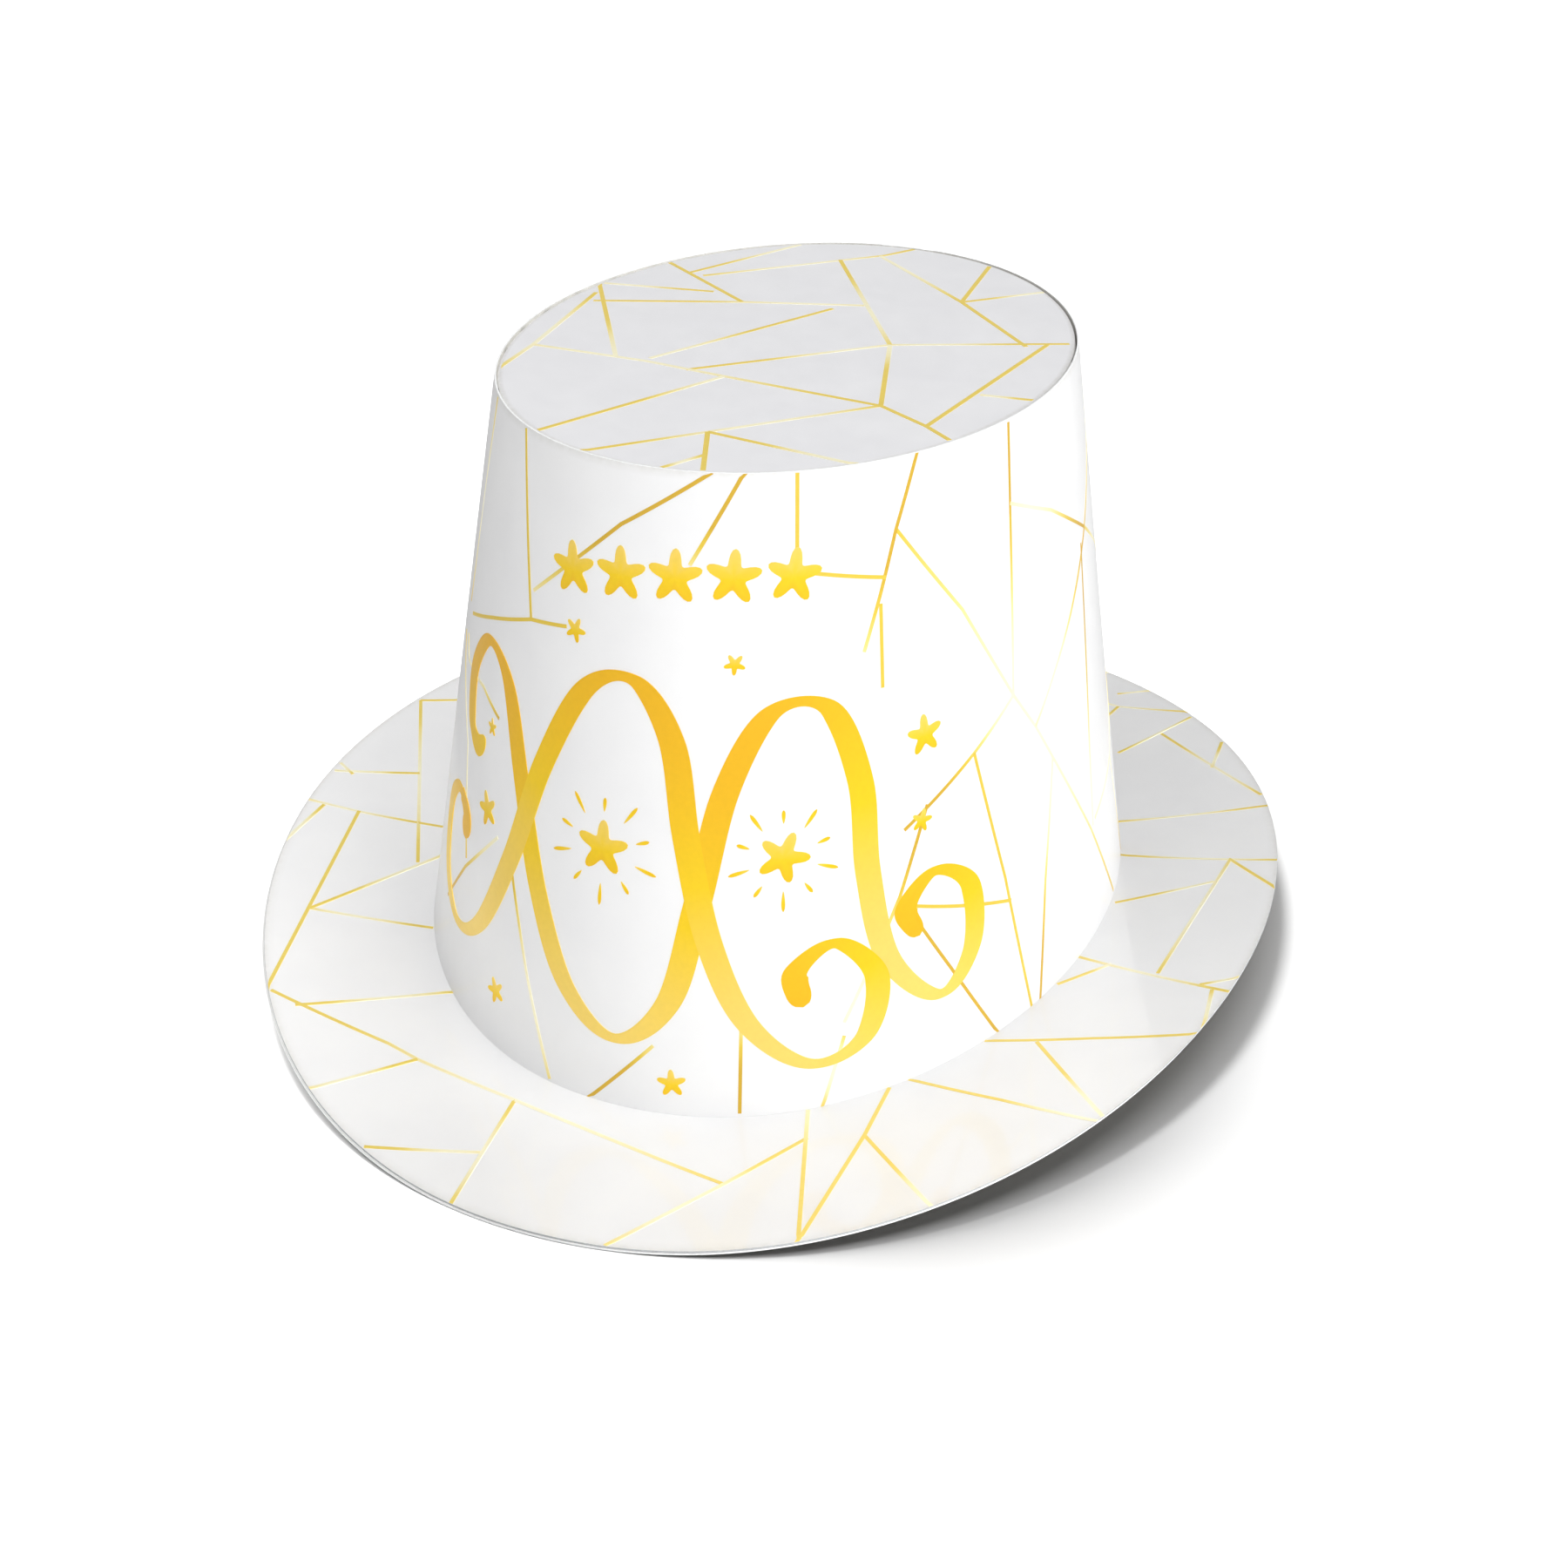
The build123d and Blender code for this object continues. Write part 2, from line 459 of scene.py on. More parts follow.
TOP_GAPS = (0.5, 0.1)       # gaps between the flat top and the wall, at the sides and the ends
TOP_COLUMNS = 360
TOP_RINGS = (1.0, 3.0, 8.0, 20.0, 40.0, 60.0, 80.0, 100.0)  # percent of the way to its middle
TOP_FOLD = 0.1 + CARD       # outer radius of its folded edge
TOP_FLAT = [crown_half(axis, TOP_FACE) - CARD - TOP_GAPS[axis] - TOP_FOLD for axis in (0, 1)]


def make_crown_top():
    """The flat top, with its glue tabs folded down inside the wall."""

    def place(i, j, side):
        turn = radians(360.0 * i / TOP_COLUMNS)
        if j < FLAT_ROW:
            bend = radians(FOLD_ROWS[max(j - len(TAB_ROWS), 0)])
            radius = TOP_FOLD - CARD * side
            along_tab = TAB_ROWS[j] if j < len(TAB_ROWS) else 0.0
            depth = TOP_FOLD - radius * sin(bend) + along_tab
            height = TOP_FACE - depth
            slack = max(1.0 - depth / TAB_ROWS[0], 0.1)
            inset = CARD + TOP_FOLD - radius * cos(bend)
            half = [crown_half(axis, height) - inset - TOP_GAPS[axis] * slack for axis in (0, 1)]
            return Vector((half[0] * sin(turn), -half[1] * cos(turn), height))
        share = 1.0 - TOP_RINGS[j - FLAT_ROW] / 100
        x = TOP_FLAT[0] * share * sin(turn)
        y = -TOP_FLAT[1] * share * cos(turn)
        return Vector((x, y, TOP_FACE - CARD * side))

    mesh = card_mesh(
        TOP_COLUMNS,
        FLAT_ROW + len(TOP_RINGS) - 1,
        lambda i, j: place(i, j, 0),
        lambda i, j: place(i, j, 1),
        lambda i, j: 1.0 if len(TAB_ROWS) <= j < FLAT_ROW else 0.0,
        missing=cut_away(TOP_COLUMNS),
    )
    # The innermost ring has no width, so its corners are joined into one at the middle.
    bmesh.ops.remove_doubles(mesh, verts=mesh.verts, dist=0.001)
    materials = (CROWN_CARD, PLAIN, PAINTED_SHADE_CUT)
    piece = finish_piece(mesh, "crown_top_card", materials, "printed_card", "crown_top")
    soften(piece, 0.05)


BRIM_COLUMNS = 540
BRIM_RINGS = [d / 100 for d in graded(0.0, 100.0, 6.0, fine=(0.0, 1.0, 3.0, 6.0))]
BRIM_WIDTH = 38.0           # from the crown to the brim's edge, more or less all round
BRIM_FOLD = 0.25            # inner radius of its folded edge
UNDER_SHIFT = (-0.35, -0.30)  # the lower ply is glued on a little out of line


def brim_edge(angle):
    """A point on the brim's outline, seen from above."""
    turn = radians(angle)
    return BRIM_HALF[0] * sin(turn), -BRIM_HALF[1] * cos(turn)


def make_brim_top():
    """The brim's printed ply, with its glue tabs folded up inside the crown."""
    rings = BRIM_RINGS[1:]

    def place(i, j, side):
        angle = 360.0 * i / BRIM_COLUMNS
        thick = CARD * side
        if j < len(TAB_ROWS):
            inner = wall_point(angle, BRIM_THICK)
            foot = brim_height(inner.x, inner.y, BRIM_THICK)
            return wall_point(angle, foot + BRIM_FOLD + TAB_ROWS[j], -CARD - thick)
        inner = wall_point(angle, wall_foot(angle), BRIM_FOLD - CARD)
        if j < FLAT_ROW:
            bend = radians(FOLD_ROWS[j - len(TAB_ROWS)])
            back = (BRIM_FOLD + thick) * cos(bend)
            down = (BRIM_FOLD + thick) * sin(bend)
            base = brim_height(inner.x, inner.y, BRIM_THICK) + BRIM_FOLD
            spot = wall_point(angle, wall_foot(angle), BRIM_FOLD - CARD - back)
            return Vector((spot.x, spot.y, base - down))
        share = rings[j - FLAT_ROW]
        edge = brim_edge(angle)
        x = inner.x + (edge[0] - inner.x) * share
        y = inner.y + (edge[1] - inner.y) * share
        return Vector((x, y, brim_height(x, y, BRIM_THICK - thick)))

    def rub(i, j):
        return rub_at(BRIM_WIDTH * (1.0 - rings[j - FLAT_ROW])) if j >= FLAT_ROW else 0.0

    mesh = card_mesh(
        BRIM_COLUMNS,
        FLAT_ROW + len(rings) - 1,
        lambda i, j: place(i, j, 0),
        lambda i, j: place(i, j, 1),
        rub,
        missing=cut_away(BRIM_COLUMNS),
    )
    materials = (BRIM_CARD, PLAIN, PAINTED_SHADE_CUT)
    piece = finish_piece(mesh, "brim_top_card", materials, "printed_card", "brim_top")
    soften(piece, 0.07)


def make_brim_under():
    """The brim's lower ply, which has no tabs."""

    def place(i, j, side):
        angle = 360.0 * i / BRIM_COLUMNS
        inner = wall_point(angle, wall_foot(angle), -CARD)
        edge = brim_edge(angle)
        x = inner.x + (edge[0] + UNDER_SHIFT[0] - inner.x) * BRIM_RINGS[j]
        y = inner.y + (edge[1] + UNDER_SHIFT[1] - inner.y) * BRIM_RINGS[j]
        return Vector((x, y, brim_height(x, y, CARD * side)))

    mesh = card_mesh(
        BRIM_COLUMNS,
        len(BRIM_RINGS) - 1,
        lambda i, j: place(i, j, 1),
        lambda i, j: place(i, j, 0),
        lambda i, j: rub_at(BRIM_WIDTH * (1.0 - BRIM_RINGS[j])),
    )
    materials = (BRIM_CARD, PLAIN, PALE_CUT)
    piece = finish_piece(mesh, "brim_under_card", materials, "plain_card", "brim_under")
    soften(piece, 0.07)


def finish_head_band():
    """The head band is the CAD's own, in plain card."""
    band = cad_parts["head_band"]
    band.data.materials.clear()
    band.data.materials.append(PLAIN)


# --------------------------------------------------------------- foil shapes

FOIL = 0.05                 # how far the foil lines stand above the card
STAGGER = 0.008             # lines that cross differ by this, so no two share a plane
STARS_OUT = 0.10            # how far the stars stand above the card
STREAMERS_OUT = 0.12        # and the streamers
SUNK = 0.03                 # how far the foil's underside is pressed into the card
LINE_STEP = 2.0             # the usual step between two rungs of a line
FADE = 2.2                  # how fast a line's painted highlight deepens to gold away from its palest place
EVEN = None                 # a line of one deep yellow, with no painted highlight
EVEN_TONE = 0.5
RIM_CLEAR = 0.1             # foil stops this far below the wall's rim
FOOT_CLEAR = 0.05           # this far from the joint between the wall and the brim
EDGE_CLEAR = 0.12           # and this far inside the brim's edge


def foil_mesh():
    """An empty mesh for foil, with the tone attribute that its painted sheen follows."""
    mesh = bmesh.new()
    mesh.verts.layers.float.new("tone")
    return mesh


def around(skin, u, v):
    """The skin's directions along u and along v at a point, and its outward normal."""
    small = 0.05
    along_u = (skin(u + small, v) - skin(u - small, v)) / (2 * small)
    along_v = (skin(u, v + small) - skin(u, v - small)) / (2 * small)
    return along_u, along_v, along_u.cross(along_v).normalized()


def moved(skin, u, v, step):
    """The skin coordinates of a point a step away from (u, v), along the skin."""
    p, q, _ = around(skin, u, v)
    pp, pq, qq = p.dot(p), p.dot(q), q.dot(q)
    sp, sq = step.dot(p), step.dot(q)
    whole = pp * qq - pq * pq
    return u + (sp * qq - sq * pq) / whole, v + (sq * pp - sp * pq) / whole


def oval_clamp(x, y, half, inset, inner=False):
    """Keeps a point inside an oval, or outside it, by moving it straight in or out."""
    size = hypot(x / (half[0] - inset), y / (half[1] - inset))
    beyond = size < 1.0 if inner else size > 1.0
    return (x / size, y / size) if beyond else (x, y)


def wall_clamp(angle, height):
    angle = min(max(angle, SEAM_FREE), SEAM_DIP[0])
    return angle, min(max(height, wall_foot(angle) + FOOT_CLEAR), RIM - RIM_CLEAR)


def top_clamp(x, y):
    return oval_clamp(x, y, TOP_FLAT, 0.0)


def brim_clamp(x, y):
    x, y = oval_clamp(x, y, BRIM_HALF, EDGE_CLEAR)
    foot = [FOOT[axis][axis] for axis in (0, 1)]
    return oval_clamp(x, y, foot, -FOOT_CLEAR, inner=True)


def foil_band(mesh, skin, clamp, spine, across, lift):
    """A closed band of foil. The spine holds (u, v, side, half width, tone) for each rung; the tone
    places its painted sheen.
    """
    painted_sheen_layer = mesh.verts.layers.float["tone"]
    rungs = []
    for u, v, side, half, tone in spine:
        places = []
        for k in range(across + 1):
            step = side * half * (2 * k / across - 1)
            places.append(clamp(*moved(skin, u, v, step)))
        rung = [mesh.verts.new(skin(*place, -SUNK)) for place in places]
        rung += [mesh.verts.new(skin(*place, lift)) for place in reversed(places)]
        for vert in rung:
            vert[painted_sheen_layer] = tone
        rungs.append(rung)
    size = len(rungs[0])
    for first, second in zip(rungs, rungs[1:]):
        for k in range(size):
            n = (k + 1) % size
            mesh.faces.new((first[k], first[n], second[n], second[k]))
    for rung in (rungs[0], rungs[-1]):
        for k in range(across):
            mesh.faces.new((rung[k], rung[k + 1], rung[size - 2 - k], rung[size - 1 - k]))


def line_spine(skin, clamp, points, width, highlight_at, deepest):
    """Rungs of a line with straight runs between its points, cut off where it leaves the card.

    Its corners are mitred. Its tone, a painted sheen, deepens away from its painted highlight at
    its palest place, but never past deepest.
    """
    rungs = []
    total = 0.0
    for run, (start, end) in enumerate(zip(points, points[1:])):
        length = (skin(*end) - skin(*start)).length
        steps = max(2, ceil(length / LINE_STEP))
        for k in range(0 if run == 0 else 1, steps + 1):
            share = k / steps
            u = start[0] + (end[0] - start[0]) * share
            v = start[1] + (end[1] - start[1]) * share
            rungs.append([u, v, total + length * share])
        total += length
    spine = []
    for k, (u, v, gone) in enumerate(rungs):
        before = rungs[max(k - 1, 0)]
        after = rungs[min(k + 1, len(rungs) - 1)]
        way_in = (skin(u, v) - skin(*before[:2])).normalized()
        way_out = (skin(*after[:2]) - skin(u, v)).normalized()
        way = (way_in + way_out).normalized()
        mitre = 1.0 / max(0.5, way.dot(way_out if k == 0 else way_in))
        side = way.cross(around(skin, u, v)[2]).normalized() * mitre
        held = skin(*clamp(u, v))
        if (held - skin(u, v)).length < width:
            tone = EVEN_TONE if highlight_at is EVEN else FADE * (gone / total - highlight_at) ** 2
            spine.append((u, v, side, width / 2, min(deepest, tone)))
    return spine


def foil_lines(name, skin, clamp, lines, width, deepest):
    """All the foil lines on one skin. Each fades from a painted highlight to a deeper gold."""
    mesh = foil_mesh()
    for number, (highlight_at, *points) in enumerate(lines):
        spine = line_spine(skin, clamp, points, width, highlight_at, deepest)
        foil_band(mesh, skin, clamp, spine, 1, FOIL + STAGGER * (number % 4))
    finish_piece(mesh, name, (LINE_FOIL,), "gold_foil", crisp=True)


# Each line is the share of its length at which its painted highlight is palest,
# and its corners: as (x, y) on the flat top and on the brim, and as (angle,
# height) on the wall. A corner past a card's outline is where the line would
# have gone on.
TOP_LINES = [
    (1.0, (-60, 29), (-32, -24)),
    (0.5, (-55, 17), (-52, -23), (-52, -48)),
    (0.2, (-52, -23), (-25, -24), (-6, -27), (30, -32), (42, -40), (51, -48)),
    (0.0, (-6, -27), (-30, -74)),
    (0.6, (-16, -78), (3, -59), (30, -32)),
    (1.5, (3, -59), (11, -82)),
    (0.5, (2, -80), (7, -71)),
    (0.8, (3, -59), (36, -65)),
    (0.1, (-25, -22), (0, 26)),
    (0.8, (-15, -26), (20, 6)),
    (0.35, (20, 6), (-11, 64)),
    (0.0, (20, 6), (30, -32)),
    (0.2, (20, 6), (60, 23)),
    (0.3, (-60, 24), (-30, 28)),
    (0.8, (-53, 11), (-21, 23), (6, 31)),
    (1.5, (-52, 49), (-21, 23)),
    (0.7, (-41, 40), (-21, 80)),
    (0.4, (-37, 39), (-2, 72), (7, 86)),
    (0.1, (-3, 71), (26, 42), (48, 16)),
    (1.5, (26, 42), (24, 80)),
    (0.7, (26, 42), (45, 60)),
    (1.6, (52, 19), (42, -40)),
    (0.2, (47, -18), (60, -17)),
]
WALL_LINES = [
    (EVEN, (-32, 140), (-24, 98)),
    (EVEN, (-49, 86), (-37, 92), (-24, 98), (-15, 100)),
    (-0.25, (-24, 104), (-5, 123), (13, 136)),
    (1.3, (18, 137), (11, 123), (8, 117)),
    (EVEN, (26, 140), (26, 118)),
    (1.3, (49, 140), (43, 121), (40, 109), (37, 98)),
    (EVEN, (40, 107), (40, 90)),
    (EVEN, (25, 116), (41, 112)),
    (0.48, (43, 121), (55, 101), (65, 78), (70, 68), (85, 32), (94, 7)),
    (0.95, (68, 136), (67, 118), (65, 78)),
    (0.2, (67, 118), (79, 111), (94, 99)),
    (0.8, (94, 99), (84, 86), (76, 76), (70, 68)),
    (0.9, (91, 97), (87, 51), (86, 32)),
    (0.0, (65, 78), (56, 70), (43, 59)),
    (EVEN, (56, 70), (61, 39), (65, 5)),
    (0.9, (47, 63), (42, 45), (33, 20)),
    (-0.4, (42, 45), (50, 25), (58, 4)),
    (EVEN, (44, 42), (62, 33)),
    (0.1, (74, 58), (70, 32), (67, 5)),
    (0.4, (33, 17), (29, -2)),
    (-0.3, (18, 21), (18, -2)),
    (-0.3, (5, 16), (-6, -1)),
    (0.4, (-11, -2), (-18, 22), (-24, 45)),
    (1.0, (-45, 21), (-38, 34), (-28, 48)),
    (0.5, (-47, 136), (-50, 113), (-52, 87)),
    (0.5, (-54, 79), (-43, 60), (-38, 36)),
    (0.4, (-51, 80), (-48, 76), (-38, 76), (-31, 73)),
    (0.4, (94, 99), (124, 70)),
    (0.4, (-60, 138), (-72, 88), (-66, 40), (-78, -2)),
    (0.8, (-72, 88), (-104, 112), (-118, 138)),
    (0.2, (-66, 40), (-98, 62), (-104, 112)),
    (0.5, (-98, 62), (-132, 30), (-140, -2)),
    (0.6, (-85, 138), (-93, 104)),
    (0.3, (-104, 112), (-140, 84), (-132, 30)),
    (0.7, (-140, 84), (-168, 118), (-190, 104)),
    (0.2, (-168, 118), (-162, 138)),
    (0.5, (-140, 84), (-172, 52), (-190, 60)),
    (0.4, (-172, 52), (-166, -2)),
    (0.9, (-110, 52), (-104, -2)),
    (0.3, (-84, 52), (-92, 20), (-88, -2)),
    (0.6, (94, 99), (112, 124), (118, 138)),
    (0.4, (112, 124), (140, 98), (176, 114)),
    (0.3, (124, 70), (140, 98), (146, 138)),
    (0.8, (124, 70), (100, 38), (87, 33)),
    (0.2, (100, 38), (108, -2)),
    (0.5, (124, 70), (150, 42), (176, 58)),
    (0.1, (150, 42), (138, -2)),
    (0.7, (150, 42), (161, 20), (158, -2)),
    (0.4, (165, 138), (159, 106)),
]
BRIM_LINES = [
    (0.5, (-115, 26), (-81, -40)),
    (0.5, (-115, 26), (-107, 33), (-88, 60), (-70, 55)),
    (0.4, (-121, -21), (-99, -5)),
    (0.6, (-120, -12), (-112, -16)),
    (0.3, (-117, -33), (-102, -29), (-80, -22)),
    (1.8, (-103, -29), (-86, -101)),
    (0.5, (-111, -32), (-111, -58)),
    (0.7, (-93, -70), (-77, -33)),
    (0.3, (-93, -70), (-60, -60)),
    (0.6, (-87, -100), (-54, -104), (-46, -106), (-21, -110), (30, -120)),
    (0.6, (-78, -102), (-50, -81)),
    (0.4, (-64, -128), (-46, -106)),
    (0.8, (-46, -137), (-20, -128)),
    (0.5, (-21, -110), (-18, -148)),
    (0.4, (13, -148), (30, -120), (41, -101)),
    (-0.2, (38, -92), (50, -132), (52, -97), (52, -78)),
    (1.3, (50, -131), (50, -138)),
    (0.8, (52, -97), (75, -119)),
    (0.85, (55, -76), (76, -79), (101, -84)),
    (0.8, (78, -57), (99, -83)),
    (1.5, (65, -59), (89, -54), (113, -50)),
    (0.4, (79, -22), (119, -35)),
    (1.0, (77, -34), (87, -24)),
    (0.4, (98, -27), (105, 26), (118, 12)),
    (0.5, (78, 26), (120, 26)),
    (0.8, (82, 3), (103, 15)),
    (0.4, (74, 43), (112, 55)),
    (0.5, (66, 81), (83, 108)),
    (0.6, (75, 94), (92, 76), (107, 60)),
    (0.3, (92, 75), (92, 90)),
    (0.5, (108, -31), (118, -27)),
    (0.4, (111, -33), (112, -52)),
    (0.5, (-88, 60), (-101, 84)),
    (0.3, (-94, 71), (-60, 96), (-50, 80)),
    (0.7, (-60, 96), (-78, 114)),
    (0.4, (-60, 96), (-28, 118), (-34, 98)),
    (0.5, (-28, 118), (-42, 143)),
    (0.6, (-28, 118), (6, 128), (12, 100)),
    (0.2, (6, 128), (-2, 150)),
    (0.8, (6, 128), (38, 118), (30, 95)),
    (0.4, (38, 118), (30, 146)),
    (0.7, (38, 118), (60, 138)),
    (0.5, (38, 118), (60, 109), (82, 108)),
    (0.5, (60, 109), (52, 78)),
    (0.4, (58, 117), (70, 122)),
]

# ----------------------------------------------------------------- ornament

STAR_ROW = [(-14.5, 112), (-4.5, 113.5), (5.5, 114.5), (15.5, 115), (25.5, 115)]
STAR_REACH = 5.6            # from a star's middle to its points
STAR_WAIST = 0.45           # how far out its notches are, as a share of that
LOOP_STARS = [(-5, 57, 6.0), (24, 58, 5.6)]
LOOSE_STARS = [
    (-32, 52, 4.0),
    (47, 78, 4.4),
    (-13, 100, 2.6),
    (-25, 14, 3.0),
    (8, 8, 3.2),
    (46, 60, 2.6),
    (16, 98, 2.2),
    (-33, 70, 2.0),
]
STAR_RINGS = 4              # rings of corners in a star
STAR_CORNERS = 60           # and corners in a ring
STAR_TONE = 0.35            # the painted sheen's tone at a star's middle
STAR_PAINTED_SHADE = 0.30           # painted highlight and shade: how much paler its top is, and how much deeper its foot
RAYS = 10                   # short strokes round each star that sits in a loop
RAY_START = 1.3             # where the strokes start, as a share of the star's reach
RAY_ENDS = (1.8, 2.1)       # and where the short and the long ones end
RAY_BREADTH = 0.75          # a stroke's width at its middle
RAY_RUNGS = 8


def rounded_star(turn, points=5, softness=0.35):
    """A star's reach in a direction, with rounded points and notches."""
    wave = 0.5 + 0.5 * cos(points * turn)
    mix = wave**1.5 * (1 - softness) + wave * softness
    return STAR_WAIST + (1 - STAR_WAIST) * mix


def wall_axes(angle, height):
    """The directions to the right and up along the wall at a place on it."""
    p, q, _ = around(wall_point, angle, height)
    return p.normalized(), q.normalized()


def foil_star(mesh, angle, height, size, lean):
    """A closed star of foil on the wall, in rings of corners round its middle."""
    painted_sheen_layer = mesh.verts.layers.float["tone"]
    right, up = wall_axes(angle, height)
    levels = []
    for out in (STARS_OUT, -SUNK):
        middle = mesh.verts.new(wall_point(angle, height, out))
        middle[painted_sheen_layer] = STAR_TONE
        level = []
        for ring in range(1, STAR_RINGS + 1):
            row = []
            for k in range(STAR_CORNERS):
                turn = 2 * pi * k / STAR_CORNERS
                reach_here = size * rounded_star(turn) * ring / STAR_RINGS
                step = (right * sin(turn + lean) + up * cos(turn + lean)) * reach_here
                vert = mesh.verts.new(wall_point(*moved(wall_point, angle, height, step), out))
                # Painted light: the star's top is painted paler and its foot deeper, as if lit from
                # above.
                vert[painted_sheen_layer] = STAR_TONE - STAR_PAINTED_SHADE * cos(turn + lean) * ring / STAR_RINGS
                row.append(vert)
            level.append(row)
        levels.append(level)
        for k in range(STAR_CORNERS):
            n = (k + 1) % STAR_CORNERS
            mesh.faces.new((middle, level[0][k], level[0][n]))
            for inner, outer in zip(level, level[1:]):
                mesh.faces.new((inner[k], outer[k], outer[n], inner[n]))
    top, bottom = levels[0][-1], levels[1][-1]
    for k in range(STAR_CORNERS):
        n = (k + 1) % STAR_CORNERS
        mesh.faces.new((top[k], bottom[k], bottom[n], top[n]))


def ray_spine(angle, height, turn, near, far):
    """Rungs of a drop-shaped stroke that points away from a star."""
    right, up = wall_axes(angle, height)
    way = right * sin(turn) + up * cos(turn)
    side = right * cos(turn) - up * sin(turn)
    spine = []
    for k in range(RAY_RUNGS + 1):
        share = k / RAY_RUNGS
        place = moved(wall_point, angle, height, way * (near + (far - near) * share))
        half = RAY_BREADTH * sqrt(max(share * (1 - share), 0.004)) * (0.6 + 0.8 * share)
        # Painted sheen: the stroke is paler at its start and deeper gold towards its tip.
        spine.append((*place, side, half, 0.2 + 0.4 * share))
    return spine


def make_stars():
    """The row of five stars, and below it the stars in and round the streamers' loops."""
    mesh = foil_mesh()
    for number, (angle, height) in enumerate(STAR_ROW):
        foil_star(mesh, angle, height, STAR_REACH, radians(-8 + 4 * number))
    for number, (angle, height, size) in enumerate(LOOP_STARS + LOOSE_STARS):
        foil_star(mesh, angle, height, size, 0.4 * number)
    for angle, height, size in LOOP_STARS:
        for ray in range(RAYS):
            far = size * RAY_ENDS[ray % 2]
            spine = ray_spine(angle, height, 2 * pi * ray / RAYS, size * RAY_START, far)
            foil_band(mesh, wall_point, wall_clamp, spine, 2, STARS_OUT)
    finish_piece(mesh, "foil_stars", (ORNAMENT_FOIL,), "gold_foil", crisp=True)


# Two streamers twine round each other across the front, with curled ends. The
# points are (angle, height) on the wall, and a smooth curve goes through them.
STREAMERS = [
    [
        (-35, 66), (-38, 63), (-42, 67), (-43, 78), (-37, 87), (-29, 82), (-23, 64), (-17, 42),
        (-10, 24), (-1, 16), (7, 26), (11, 48), (15, 72), (22, 88), (31, 88), (36, 72),
        (37, 52), (40, 32), (48, 20), (54, 28), (54, 42), (48, 48), (43, 42), (45, 35),
    ],
    [
        (-39, 40), (-40, 46), (-45, 48), (-49, 41), (-47, 28), (-39, 20), (-31, 26), (-24, 46),
        (-18, 70), (-10, 89), (-1, 93), (6, 82), (9, 62), (13, 40), (19, 22), (28, 12),
        (36, 16), (38, 29), (32, 38), (26, 33), (27, 25),
    ],
]
NIB = 2.9                   # half the widest stroke of the streamers
THIN = 0.36                 # their width where they run level, as a share of that
BULB_HALF = 0.62            # half the width of their curled ends, in nibs
BULB_SWELL = 0.35           # how much wider those get at most
BULB_PLACE = 1.6            # and how far from the tip, in nibs
PAINTED_SHEEN_WAVE = 26.0                # the length of their painted sheen's change of tone, for each radian of it
STROKE_STEPS = 14           # steps of the smooth curve between two points


def smooth_curve(points, steps):
    """Places along a smooth curve, a Catmull-Rom spline, through the points."""
    first = tuple(2 * a - b for a, b in zip(points[0], points[1]))
    last = tuple(2 * a - b for a, b in zip(points[-1], points[-2]))
    ends = [first, *points, last]
    places = []
    for p, q, r, s in zip(ends, ends[1:], ends[2:], ends[3:]):
        for k in range(steps):
            t = k / steps
            place = []
            for a, b, c, d in zip(p, q, r, s):
                cubic = 1.5 * (b - c) + (d - a) / 2
                square = a - 2.5 * b + 2 * c - d / 2
                place.append(b + t * ((c - a) / 2 + t * (square + t * cubic)))
            places.append(tuple(place))
    return places + [points[-1]]


def streamer_spine(points, phase):
    """Rungs of a streamer: broad where it runs up or down, thin where it turns, with round ends."""
    places = smooth_curve(points, STROKE_STEPS)
    spots = [wall_point(*place) for place in places]
    gone = [0.0]
    for before, after in zip(spots, spots[1:]):
        gone.append(gone[-1] + (after - before).length)
    spine = []
    for k, (u, v) in enumerate(places):
        way = (spots[min(k + 1, len(spots) - 1)] - spots[max(k - 1, 0)]).normalized()
        side = way.cross(around(wall_point, u, v)[2]).normalized()
        half = NIB * (THIN + (1 - THIN) * way.z**2)
        nibs = min(gone[k], gone[-1] - gone[k]) / NIB
        if nibs < 4:
            swell = max(0.0, 1 - abs(nibs - BULB_PLACE) / BULB_PLACE)
            half = max(half, BULB_HALF * NIB * (1 + BULB_SWELL * swell))
        half *= sqrt(max(1 - max(1 - 0.8 * nibs, 0.0) ** 2, 0.0004))
        # Painted sheen: the gold goes pale and deep in waves along the streamer.
        tone = 0.42 + 0.42 * sin(gone[k] / PAINTED_SHEEN_WAVE + phase)
        spine.append((u, v, side, half, tone))
    return spine


def make_streamers():
    """The two streamers, one a hair above the other where they cross."""
    mesh = foil_mesh()
    for number, points in enumerate(STREAMERS):
        spine = streamer_spine(points, 2.0 * number)
        foil_band(mesh, wall_point, wall_clamp, spine, 4, STREAMERS_OUT + 0.02 * number)
    finish_piece(mesh, "foil_streamers", (ORNAMENT_FOIL,), "gold_foil", crisp=True)


# ------------------------------------------------------------------- stage

CROWN_KEY = 0.80            # light from straight above, on the crown's wall and its inside
TOP_KEY = 1.02              # the same on its flat top, where it is cooler
SIDE_LIGHT = 0.74           # low light from the right, on all the hat but its flat top
FRONT_FILL = 0.20           # faint light from the front, on the crown's wall
BRIM_KEY = 0.30             # light from high at the left, on the brim
BRIM_FILL = 0.38            # even light from above, on the brim
CURL_LEFT = 1.25            # very low light from the right, which catches the brim's left curl
CURL_RIGHT = 0.50           # and from the left, which catches its right one
FLOOR_KEY = 1.3             # light from high at the back left, on the floor
FLOOR_FILL = 1.1            # a much broader one from the same side
FLOOR_LEFT = 2.0            # low light from the left, on the floor
FLOOR_BOUNCE = 0.36         # the floor's paleness in the light that it throws onto the hat
FLOOR_MIRRORED = 0.15       # and in the hat's gloss
HORIZON = 1.0               # world brightness at the horizon and overhead
ZENITH = 0.06
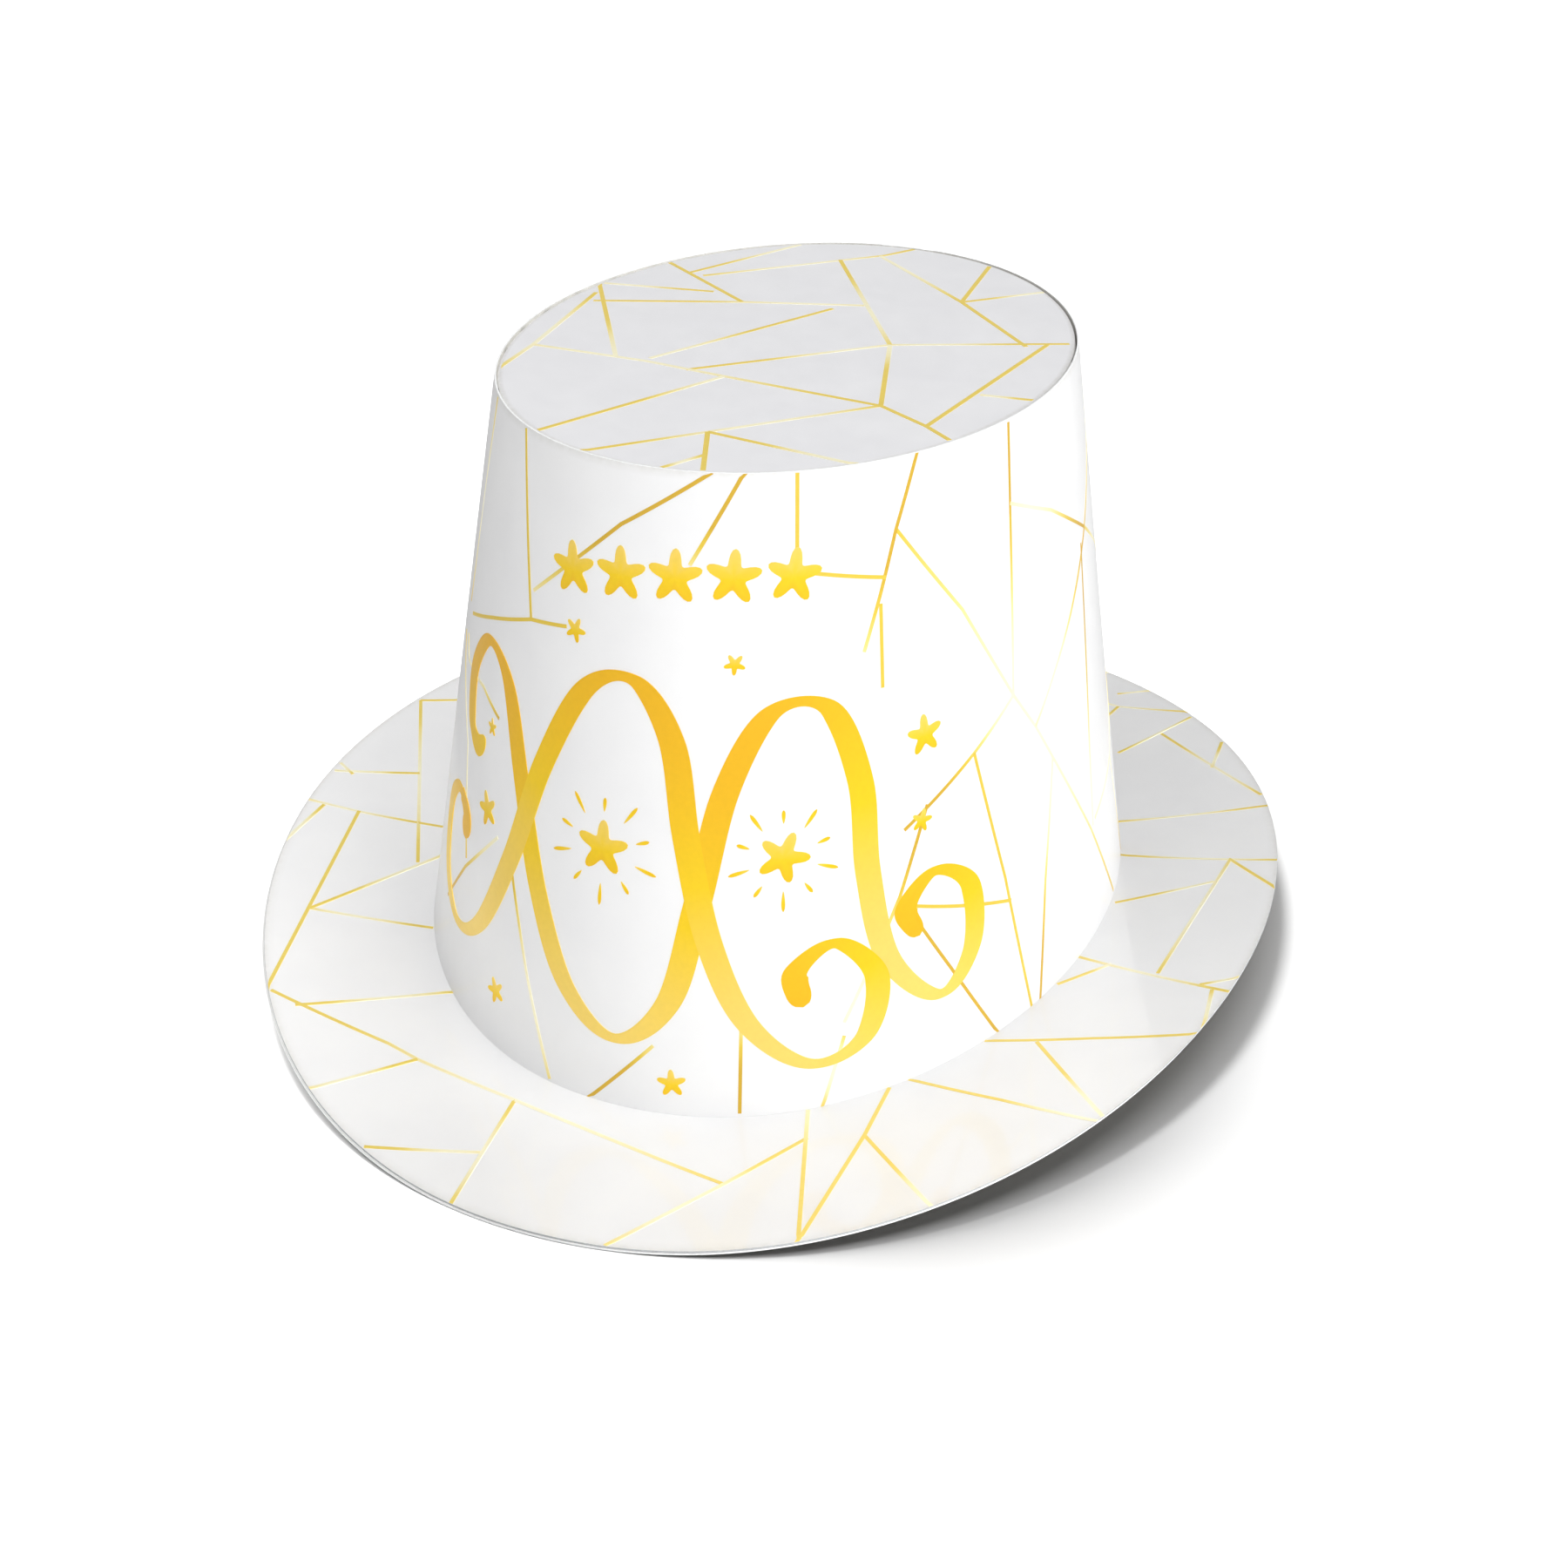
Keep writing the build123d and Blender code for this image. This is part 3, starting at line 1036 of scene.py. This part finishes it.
GLOW_ENDS = (0.06, 0.28)    # where the one starts to turn into the other, and stops
FLOOR_HALF = 12000.0        # the floor's edge is out of sight
FLOOR_SUNK = 0.02           # the floor is just under the brim, so that they share no plane


def collect(name, objects):
    group = bpy.data.collections.new(name)
    for item in objects:
        group.objects.link(item)
    return group


def sun(name, strength, spread, direction, receivers, soft=False, colour=(1, 1, 1)):
    """A distant lamp that lights only its receivers, from an azimuth and an elevation.

    Its strength is what a white matt card facing it would send back, and its spread is
    its width as an angle. A soft lamp stands for light from all round that side: it has
    no shadow or glare.
    """
    lamp = bpy.data.lights.new(name, "SUN")
    lamp.energy = strength * pi
    lamp.angle = radians(spread)
    lamp.use_shadow = not soft
    lamp.color = colour
    holder = bpy.data.objects.new(name, lamp)
    a, e = radians(direction[0]), radians(direction[1])
    towards = Vector((sin(a) * cos(e), -cos(a) * cos(e), sin(e)))
    holder.rotation_euler = towards.to_track_quat("Z", "Y").to_euler()
    holder.visible_glossy = not soft
    bpy.context.scene.collection.objects.link(holder)
    holder.light_linking.receiver_collection = receivers


def make_world():
    """A pale studio: bright low down all round, dimmer overhead."""
    world = bpy.data.worlds.new("studio")
    world.use_nodes = True
    bpy.context.scene.world = world
    tree = world.node_tree
    place = add_node(tree, "ShaderNodeTexCoord").outputs["Generated"]
    height = add_node(tree, "ShaderNodeSeparateXYZ", {"Vector": place}).outputs["Z"]
    low, high = GLOW_ENDS
    glow = ramp(tree, height, (low, (HORIZON,) * 3), (high, (ZENITH,) * 3))
    tree.links.new(glow, tree.nodes["Background"].inputs["Color"])


def make_floor():
    """The floor. Its paper is paler to the camera than in the light that it throws on."""
    mesh = bmesh.new()
    corners = []
    for x, y in ((-1, -1), (1, -1), (1, 1), (-1, 1)):
        place = Vector((x * FLOOR_HALF, y * FLOOR_HALF, -FLOOR_SUNK))
        corners.append(mesh.verts.new(place * MM))
    mesh.faces.new(corners)
    data = bpy.data.meshes.new("floor")
    mesh.to_mesh(data)
    mesh.free()
    floor = bpy.data.objects.new("floor", data)
    bpy.context.scene.collection.objects.link(floor)
    material, tree, shader = new_material("floor_paper")
    tone = ramp(tree, noise(tree, 3, 2), (0.3, (0.52, 0.52, 0.52)), (0.7, (0.55, 0.55, 0.55)))
    path = add_node(tree, "ShaderNodeLightPath").outputs
    thrown = mix_colour(tree, path["Is Glossy Ray"], (FLOOR_BOUNCE,) * 3, (FLOOR_MIRRORED,) * 3)
    seen = mix_colour(tree, path["Is Camera Ray"], thrown, tone)
    tree.links.new(seen, shader.inputs["Base Color"])
    shader.inputs["Roughness"].default_value = 1.0
    shader.inputs["Specular IOR Level"].default_value = 0.0
    data.materials.append(material)
    floor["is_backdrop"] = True
    return floor


def make_camera():
    """A camera at the front right, looking down at the hat, and turned a little about its axis."""
    azimuth, elevation, roll = radians(19.47), radians(29.49), radians(0.853)
    aim = Vector((-0.8, -0.3, 23.5)) * MM
    distance = 530.9 * MM
    back = Vector((sin(azimuth) * cos(elevation), -cos(azimuth) * cos(elevation), sin(elevation)))
    right = Vector((cos(azimuth), sin(azimuth), 0))
    up = back.cross(right)
    turned = right * cos(roll) + up * sin(roll)
    lens = bpy.data.cameras.new("camera")
    lens.lens = 50
    lens.sensor_width = 36
    camera = bpy.data.objects.new("camera", lens)
    axes = Matrix((turned, back.cross(turned), back)).transposed()
    camera.matrix_world = Matrix.Translation(aim + back * distance) @ axes.to_4x4()
    bpy.context.scene.collection.objects.link(camera)
    bpy.context.scene.camera = camera
    bpy.context.scene.view_settings.view_transform = "Standard"


def make_lamps(floor):
    """The crown, the flat top, the brim and the floor each have lamps of their own."""
    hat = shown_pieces()
    brim = [piece for piece in hat if "brim" in piece.name]
    top = [piece for piece in hat if piece.name == "crown_top_card"]
    brim_group = collect("brim", brim)
    top_group = collect("top", top)
    side_group = collect("side", [piece for piece in hat if piece not in top])
    crown_group = collect("crown", [piece for piece in hat if piece not in brim + top])
    floor_group = collect("ground", [floor])
    sun("crown_key", CROWN_KEY, 60, (0, 90), crown_group)
    sun("top_key", TOP_KEY, 60, (0, 90), top_group, colour=(0.98, 0.98, 1.0))
    sun("side_light", SIDE_LIGHT, 60, (75, 18), side_group, soft=True)
    sun("front_fill", FRONT_FILL, 90, (5, 15), crown_group, soft=True)
    sun("brim_key", BRIM_KEY, 60, (290, 52), brim_group)
    sun("brim_fill", BRIM_FILL, 60, (0, 90), brim_group, soft=True)
    sun("curl_left", CURL_LEFT, 10, (90, 2), brim_group, soft=True)
    sun("curl_right", CURL_RIGHT, 10, (270, 2), brim_group, soft=True)
    sun("floor_key", FLOOR_KEY, 16, (222, 60), floor_group)
    sun("floor_fill", FLOOR_FILL, 90, (205, 60), floor_group)
    sun("floor_left", FLOOR_LEFT, 60, (255, 20), floor_group)


# -------------------------------------------------------------------- make

make_camera()
make_crown_wall()
make_crown_top()
make_brim_top()
make_brim_under()
foil_lines("foil_lines_top", top_point, top_clamp, TOP_LINES, width=1.05, deepest=0.40)
foil_lines("foil_lines_wall", wall_point, wall_clamp, WALL_LINES, width=0.78, deepest=1.0)
foil_lines("foil_lines_brim", brim_point, brim_clamp, BRIM_LINES, width=0.88, deepest=0.36)
make_stars()
make_streamers()
finish_head_band()
paper_floor = make_floor()
make_world()
make_lamps(paper_floor)

sizes = [[list(corner) for corner in box] for box in (cad_box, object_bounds())]
